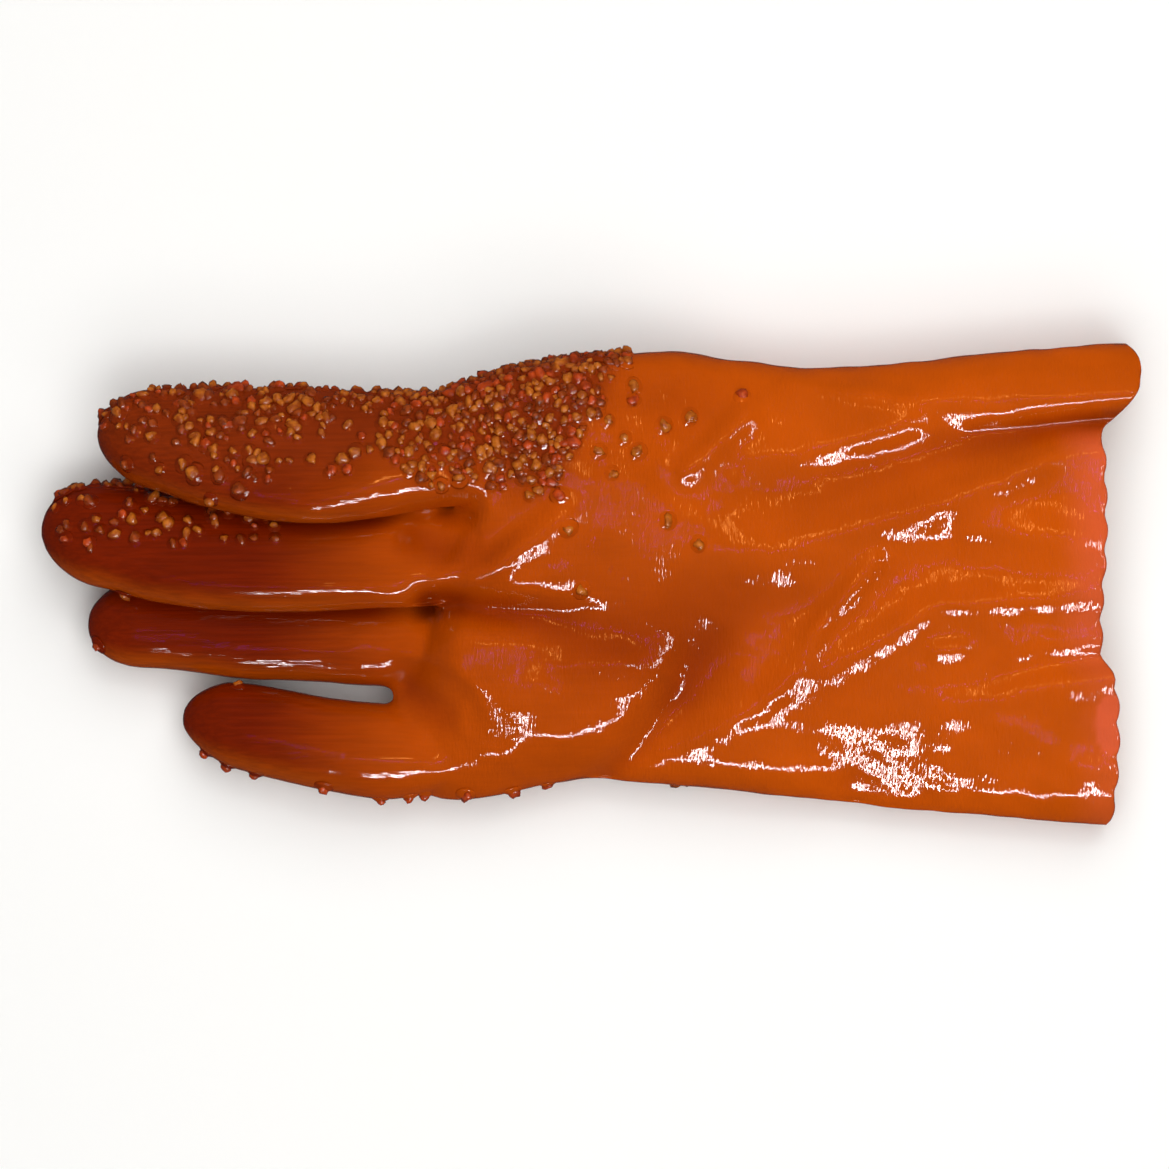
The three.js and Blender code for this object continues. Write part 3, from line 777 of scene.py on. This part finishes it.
def scatter():
    # random places on the outside, by density, none too near another
    corners = np.array([face[:3] for face in facesOf(filmMesh)[:outerFaces]])
    a, b, c = (filmPoints[corners[:, k]] for k in range(3))
    area = np.linalg.norm(np.cross(b - a, c - a), axis=1)  # a quad is about twice this triangle
    facing = filmNormals[corners].mean(1)
    weight = area * crumbDensity(filmPoints[corners].mean(1), facing, filmOwner[corners[:, 0]])
    wanted = int(weight.sum() * crumbs["tries"])
    chosen = rng.choice(len(corners), wanted, p=weight / weight.sum())
    u = rng.random((wanted, 2))
    places = a[chosen] + (b - a)[chosen] * u[:, :1] + (c - b)[chosen] * u[:, :1] * u[:, 1:]
    low, high = crumbs["size"]
    across = low + (high - low) * rng.beta(*crumbs["sizeSpread"], wanted)
    # the lone ones first, each at the point of the back nearest to its place from above
    back = np.flatnonzero((filmNormals[:, 2] > -0.3) & (filmPoints[:, 2] > 3))
    back = back[back < corners.max()]
    lone = []
    for spot in np.add(loneCrumbs, shift):  # of two points there, the higher
        away = np.linalg.norm(filmPoints[back, :2] - spot, axis=1) - filmPoints[back, 2] * 0.02
        lone.append(back[away.argmin()])
    places = np.concatenate([filmPoints[lone], places])
    facing = np.concatenate([filmNormals[lone], facing[chosen]])
    across = np.concatenate([rng.uniform(*crumbs["loneSize"], len(lone)), across])
    kept, cells, apart = [], {}, crumbs["apart"]
    for k, place in enumerate(places):
        cell = tuple((place // 4).astype(int))  # 4 mm is more than any least distance
        near = [m for i in (-1, 0, 1) for j in (-1, 0, 1) for n in (-1, 0, 1)
                for m in cells.get((cell[0] + i, cell[1] + j, cell[2] + n), ())]
        if all(np.linalg.norm(places[m] - place) > apart * (across[m] + across[k]) / 2 for m in near):
            kept.append(k)
            cells.setdefault(cell, []).append(k)
    kept = np.array(kept)
    facing /= np.linalg.norm(facing, axis=1)[:, None]
    return places[kept], facing[kept], across[kept], kept < len(lone)


places, facing, across, alone = scatter()
places[:, 2] = np.maximum(places[:, 2], 0)
onTop = facing[:, 2] > crumbs["domeFacing"]
print("crumbs", len(places), "on top", int(onTop.sum()))

middles = places + facing * (across * np.where(alone, *crumbs["stands"][::-1]))[:, None]
chips = [crumbShape(int(rng.integers(7, 10))) for _ in range(16)]
turns = randomTurns(len(places))
pick = rng.integers(0, len(chips), len(places))
shades = list(crumbs["shades"])
shade = rng.choice(len(shades), len(places), p=[share for share, _, _ in crumbs["shades"].values()])
# of the lone ones, those beside the little finger and one in five of the others are red, the rest tan
red = (places[alone, 1] < -45) | (np.arange(alone.sum()) % 5 == 3)
shade[alone] = np.where(red, shades.index("grip_red"), shades.index("grip_tan"))
shine = facing * np.where(alone, crumbs["loneShine"], 1.0)[:, None]
pieces = {}
for k, name in enumerate(shades):
    mine = shade == k
    mesh = joinedCopies(name, chips, pick[mine], middles[mine], turns[mine], across[mine] / 2, shine[mine])
    pieces[name] = objectFrom(name, mesh)
beaded = np.flatnonzero(onTop)
spread = np.where(alone, *crumbs["domes"][::-1])[beaded] * across[beaded]
upright = standingTurns(facing[beaded])
mesh = joinedCopies("film_beads", [domeShape()], 0 * beaded, places[beaded], upright, spread, facing[beaded])
pieces["film_beads"] = objectFrom("film_beads", mesh)
for name, piece in pieces.items():
    print(name, len(piece.data.polygons), "triangles")

# where the film's colours and the knit change: from which x, y or height to which, in mm
zones = {
    "coatEdge": (-12, 10),  # from the line of the coat
    "coatEnd": (-5, 26),
    # fingers: the film darker towards the fingertips, partly thicker film and partly painted shade
    "fingers": (1, (-0.8, -96, -40), (-0.2, -5, 60)),
    "rimWidth": (-14, -1),  # from the rim
    "rimRoll": (38, 44),
    "rimSteps": (0.35, (0.35, -30, -8)),
    "rubbed": ((142, -38.5), (4.8, 9)),  # a spot on the pleat at the rim: its middle and half-widths
    "knit": (0.06, (0.84, -66, -24), (0.1, 20, 70)),
    "knitUnderCoat": (1, (-0.4, 0.4, 0.9)),
    "valleys": (0.3, 5.5),  # depths between which the painted shade in the valleys grows
    "valleysFrom": (-64, -48),
    "overhang": (0.5, 7),  # from the edge of the finger above, for the painted shade beside it
    "overhangSpan": ((-138, -120), (-62, -48)),
    "litFacing": (0.2, 0.9),
    "litEnd": (-78, -56),
}

# where the film ran together and lies thick and dark, with painted shade in these hollows: x, y, half-widths
# along x and y, share
thickFilmAndShade = [
    (16, -18, 30, 17, 0.35), (2, -16, 24, 8, 0.25), (42, -4, 26, 9, 0.25), (60, -28, 20, 8, 0.15),
    (-34, 8, 12, 8, 0.4), (-62, -22, 22, 6, 0.3), (24, 50, 16, 7, 0.15), (78, 20, 26, 7, 0.15),
]


def overhangShade(points, owner):
    # painted shade: 1 beside the finger that lies over this one, and 0 from 7 mm away
    dark = np.zeros(len(points))
    start, end = zones["overhangSpan"]
    for over, under in (("index", "middle"), ("middle", "ring")):
        y, _, halfWidth, _, roll = fingerSection(fingers[over], points[:, 0])
        fromEdge = y - halfWidth * np.cos(np.radians(roll)) - points[:, 1]
        beside = (owner == fingerNames.index(under)) * (1 - smooth(fromEdge, *zones["overhang"]))
        dark += beside * smooth(points[:, 0], *start)
    return dark * (1 - smooth(points[:, 0], *end))


def markShell(mesh, points, owner, normals, knitShare):
    # how far each point belongs to the coat, the fingers, the rim and so on, and where shade and light are
    # painted, for the film's colours
    x, y = points[:, 0] - shift[0], points[:, 1] - shift[1]
    here = np.stack([x, y, points[:, 2]], -1)
    coat = smooth(y - sampleRows(coatRows, x)[..., 1], *zones["coatEdge"])
    coat = coat * (1 - smooth(x, *zones["coatEnd"]))
    coat = np.where((owner >= 1) & (x < -50), 0, coat)  # of the fingers only the index finger has it
    # the pale rim: thinner film over the knit, partly painted reflection
    rim = smooth(x - rimAt(y), *zones["rimWidth"]) * (1 - smooth(y, *zones["rimRoll"]))
    rim = rim * stepped(y, *zones["rimSteps"])
    (rubbedX, rubbedY), (alongX, alongY) = zones["rubbed"]
    rubbed = 1 - smooth(np.hypot((x - rubbedX) / alongX, (y - rubbedY) / alongY), 0.85, 1.05)
    knit = stepped(x, *zones["knit"]) * stepped(coat, *zones["knitUnderCoat"])
    # painted shade in the valleys of the back's folds, partly film pooled there
    shadeAndThickFilm = 0.7 * smooth(-lineHeight(here, backFolds), *zones["valleys"])
    shadeAndThickFilm = shadeAndThickFilm * smooth(x, *zones["valleysFrom"])
    for atX, atY, alongX, alongY, share in thickFilmAndShade:
        shadeAndThickFilm = shadeAndThickFilm + share * np.exp(-(((x - atX) / alongX) ** 2) - ((y - atY) / alongY) ** 2)
    # the painted shade, capped, or the painted shade beside the finger above where that is darker
    shadeAndThickFilm = np.maximum(np.minimum(shadeAndThickFilm, 0.8), overhangShade(here, owner))
    lit = smooth(-normals[:, 1], *zones["litFacing"]) * (owner >= 0)
    lit = lit * (1 - smooth(x, *zones["litEnd"]))
    marks = {
        "coat": coat, "fingers": stepped(x, *zones["fingers"]), "rim": np.maximum(rim, rubbed),
        "knit": knit * knitShare, "shadeAndThickFilm": shadeAndThickFilm, "lit": lit * knitShare,
    }
    for name, values in marks.items():
        addMark(mesh, name, values)


markShell(filmMesh, filmPoints, filmOwner, filmNormals, 1)
beadMesh = pieces["film_beads"].data
markShell(beadMesh, pointsOf(beadMesh) / mm, np.full(len(beadMesh.vertices), -1.0), normalsOf(beadMesh), 0)
setPoints(filmMesh, filmPoints * mm)
shadeSmooth(filmMesh)
pieces["glove_film"] = objectFrom("glove_film", filmMesh)
print("glove_film", sum(len(face.vertices) - 2 for face in filmMesh.polygons), "triangles")


# materials

def toLinear(hexCode):
    parts = [int(hexCode[k:k + 2], 16) / 255 for k in (1, 3, 5)]
    return (*[p / 12.92 if p <= 0.04045 else ((p + 0.055) / 1.055) ** 2.4 for p in parts], 1)


def addNode(tree, kind, inputs, **settings):
    # an input takes a value, or the output that feeds it
    node = tree.nodes.new("ShaderNode" + kind)
    for name, value in settings.items():
        setattr(node, name, value)
    for name, value in inputs.items():
        if isinstance(value, bpy.types.NodeSocket):
            tree.links.new(value, node.inputs[name])
        else:
            node.inputs[name].default_value = value
    return node


def newMaterial(name, patterns, **values):
    # each pattern is a noise: how long its blotches are along x, y and z in mm, and its detail
    material = bpy.data.materials.new(name)
    material.use_nodes = True
    tree = material.node_tree
    surface = tree.nodes["Principled BSDF"]
    for socket, value in values.items():
        surface.inputs[socket.replace("_", " ")].default_value = value
    place = tree.nodes.new("ShaderNodeTexCoord").outputs["Object"]
    noise = {}
    for pattern, (size, detail) in patterns.items():
        scaled = addNode(tree, "Mapping", {"Vector": place, "Scale": tuple(1 / (s * mm) for s in size)})
        inputs = {"Vector": scaled.outputs[0], "Scale": 1, "Detail": detail}
        noise[pattern] = addNode(tree, "TexNoise", inputs).outputs["Fac"]
    return material, tree, surface, place, noise


film = {
    "orange": "#c45002",
    # laid over it one after the other, where each mark is: the colour, and how much of it at most
    "layers": {
        "fingers": ("#721b00", 1),  # where the film is thickest, darker towards the fingertips: partly thicker film, partly painted shade
        "lit": ("#b04a04", 0.75),  # the fingers' sides that face the light
        "coat": ("#822b05", 1),
        # painted shade in creases, hollows and beside the finger above, with film pooled thick
        "shadeAndThickFilm": ("#741800", 0.9),
        "rim": ("#dc5c34", 1),  # where it is thin over the knit, and partly a painted pale reflection
    },
    "patterns": {
        "cloud": ((26, 18, 18), 3),
        "run": ((24, 0.9, 0.9), 3),  # streaks along the fingers, where the dip ran off
        "knit": ((0.6, 3.2, 3.2), 1),  # rows of the knit, coarser than the real ones so that they show
        "streak": ((16, 1.1, 1.1), 2),
        "wobble": ((9, 6, 6), 2),
    },
    # noise from and to, shade from and to
    "shades": {"cloud": (0.3, 0.7, 0.9, 1.08), "run": (0.35, 0.65, 0.87, 1.12)},
    # height in mm, and the mark that it follows
    "bumps": {"knit": (0.15, "knit"), "streak": (0.16, "fingers"), "wobble": (0.07, None)},
}


def dippedPvcFilm():
    # plasticised PVC dipped over a knit: a wet gloss, broken into fine hatching where the knit shows
    gloss = {"Roughness": 0.055, "IOR": 1.53}
    material, tree, surface, _, noise = newMaterial("dippedPvcFilm", film["patterns"], **gloss)
    marks = {name: addNode(tree, "Attribute", {}, attribute_name=name).outputs["Fac"]
             for name in (*film["layers"], "knit")}
    colour = toLinear(film["orange"])
    for name, (layer, most) in film["layers"].items():
        share = addNode(tree, "Math", {0: marks[name], 1: most}, operation="MULTIPLY").outputs[0]
        colour = addNode(tree, "Mix", {0: share, 6: colour, 7: toLinear(layer)}, data_type="RGBA").outputs[2]
    shaded = {}
    for name, limits in film["shades"].items():
        limits = dict(zip(("From Min", "From Max", "To Min", "To Max"), limits))
        shaded[name] = addNode(tree, "MapRange", {"Value": noise[name], **limits}).outputs[0]
    run = addNode(tree, "Mix", {0: marks["fingers"], 2: 1.0, 3: shaded["run"]}).outputs[0]
    shadeOf = addNode(tree, "Math", {0: shaded["cloud"], 1: run}, operation="MULTIPLY").outputs[0]
    colour = addNode(tree, "HueSaturation", {"Value": shadeOf, "Color": colour}).outputs[0]
    tree.links.new(colour, surface.inputs["Base Color"])
    height = 0
    for name, (most, mark) in film["bumps"].items():
        part = noise[name]
        if mark:
            part = addNode(tree, "Math", {0: part, 1: marks[mark]}, operation="MULTIPLY").outputs[0]
        height = addNode(tree, "Math", {0: part, 1: most, 2: height}, operation="MULTIPLY_ADD").outputs[0]
    bump = addNode(tree, "Bump", {"Height": height, "Distance": mm, "Strength": 1})
    tree.links.new(bump.outputs[0], surface.inputs["Normal"])
    return material


crumbFinish = {
    "patterns": {"chip": ((1.6, 1.6, 1.6), 2), "grain": ((0.9, 0.9, 0.9), 2)},
    "mixed": (0.35, 0.65),  # noise from, to
    "bare": (0.15, 0.9),  # how far up the crumb its own colour begins and is full
    "grainHeight": 0.16,
}


def crushedPvcCrumb(name, light, dark):
    # crushed PVC under the same dip: pale where the film over it is thin, fading into the film at its foot
    finish = {"Roughness": 0.22, "IOR": 1.53, "Coat_Weight": 0.8, "Coat_Roughness": 0.06}
    material, tree, surface, _, noise = newMaterial(name, crumbFinish["patterns"], **finish)
    top = addNode(tree, "Attribute", {}, attribute_name="top").outputs["Fac"]
    colour = toLinear(light)
    for value, limits, under in ((noise["chip"], "mixed", dark), (top, "bare", film["layers"]["coat"][0])):
        start, end = crumbFinish[limits]
        share = addNode(tree, "MapRange", {"Value": value, "From Min": start, "From Max": end}).outputs[0]
        inputs = {0: share, 6: toLinear(under), 7: colour}
        colour = addNode(tree, "Mix", inputs, data_type="RGBA").outputs[2]
    tree.links.new(colour, surface.inputs["Base Color"])
    inputs = {"Height": noise["grain"], "Distance": mm * crumbFinish["grainHeight"], "Strength": 1}
    tree.links.new(addNode(tree, "Bump", inputs).outputs[0], surface.inputs["Normal"])
    return material


liner = {
    "stained": "#d58a60",
    "clean": "#f2c8a8",
    "fuzz": ((0.6, 1.4, 1.4), 3),
    "ribPitch": 1.6,  # mm, coarser than the real 1 mm so that the ribs show
    "ribSlant": 0.6,
    "ribHeight": 0.3,
    "bandScale": 0.32,  # at this scale a band of the wave texture is about one unit wide
}


def cottonKnit():
    # brushed cotton, stained by the dip: matt, with the rib of the knit
    finish = {"Roughness": 0.92, "Sheen_Weight": 0.35, "Sheen_Roughness": 0.5}
    material, tree, surface, place, noise = newMaterial("cottonKnit", {"fuzz": liner["fuzz"]}, **finish)
    inputs = {0: noise["fuzz"], 6: toLinear(liner["stained"]), 7: toLinear(liner["clean"])}
    colour = addNode(tree, "Mix", inputs, data_type="RGBA").outputs[2]
    tree.links.new(colour, surface.inputs["Base Color"])
    pitch = liner["ribPitch"] * mm
    ribs = addNode(tree, "Mapping", {"Vector": place, "Scale": (0, 1 / pitch, liner["ribSlant"] / pitch)})
    inputs = {"Vector": ribs.outputs[0], "Scale": liner["bandScale"], "Distortion": 1.5}
    wave = addNode(tree, "TexWave", inputs, bands_direction="Y").outputs["Fac"]
    bump = addNode(tree, "Bump", {"Height": wave, "Distance": mm * liner["ribHeight"], "Strength": 1})
    tree.links.new(bump.outputs[0], surface.inputs["Normal"])
    return material


filmMaterial = dippedPvcFilm()
for material in (filmMaterial, cottonKnit()):
    pieces["glove_film"].data.materials.append(material)
pieces["film_beads"].data.materials.append(filmMaterial)
for name, (_, light, dark) in crumbs["shades"].items():
    pieces[name].data.materials.append(crushedPvcCrumb(name + "_crumb", light, dark))
for name, piece in pieces.items():
    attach(piece, "root")
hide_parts("glove_shell")
print("materials made")

# the stage: floor, lights and the camera
floorCorners = [(3 * x, 3 * y, 0) for x, y in ((-1, -1), (1, -1), (1, 1), (-1, 1))]  # 6 m wide
floor = objectFrom("floor", meshFrom("floor", floorCorners, [[0, 1, 2, 3]]))
floor.data.materials.append(newMaterial("paleFloor", {}, Roughness=0.7, Base_Color=toLinear("#fbfbfa"))[0])
floor.visible_glossy = False

lights = {
    # place in metres, size in metres, power in watts, colour, seen in the gloss
    "softBox": ((0.25, -0.75, 1.15), (1.4, 1.0), 7.5, "#fffefc", False),
    "fill": ((0.25, 0.95, 1.1), (1.4, 1.0), 9.5, "#fffefc", False),
    "ceiling": ((0, 0, 1.6), (1.8, 1.8), 18, "#fffefc", False),
    "tube": ((0.22, -1.0, 0.98), (1.06, 0.06), 7.5, "#ffffff", True),
    "cuffTube": ((0.9, -0.3, 0.9), (0.06, 0.3), 1.2, "#ffffff", True),
    "pinkTube": ((0.05, -0.25, 1.3), (1.2, 0.005), 0.3, "#a860ff", True),
    "warmLamp": ((0.12, 0.1, 1.5), (0.13, 0.13), 0.8, "#ffa850", True),
}
studio = {"aim": (0, 0, 0.02), "sky": "#f4f6ff", "skyStrength": 0.04}  # every lamp faces the aim

for name, (place, size, power, colour, seen) in lights.items():
    lamp = bpy.data.lights.new(name, "AREA")
    lamp.shape = "RECTANGLE"
    lamp.size, lamp.size_y = size
    lamp.energy = power
    lamp.color = toLinear(colour)[:3]
    made = objectFrom(name, lamp)
    made.location = place
    made.rotation_euler = (Vector(studio["aim"]) - Vector(place)).to_track_quat("-Z", "Y").to_euler()
    # the lamps that give the highlights leave the rest of the light to the soft ones
    made.visible_glossy = seen
    made.visible_diffuse = not seen

world = bpy.data.worlds.new("studio")
world.use_nodes = True
sky = world.node_tree.nodes["Background"].inputs
sky["Color"].default_value = toLinear(studio["sky"])
sky["Strength"].default_value = studio["skyStrength"]
bpy.context.scene.world = world
bpy.context.scene.view_settings.view_transform = "Standard"

view = {
    "across": 0.32027,  # metres of the table across the frame, at the glove's mid-height
    "distance": 2.5,
    "centre": (-0.0027, 0.0, 0.02),
}
camera = bpy.data.cameras.new("camera")
camera.lens = view["distance"] * camera.sensor_width / view["across"]
cameraObject = objectFrom("camera", camera)
cameraObject.location = Vector(view["centre"]) + Vector((0, 0, view["distance"]))
bpy.context.scene.camera = cameraObject
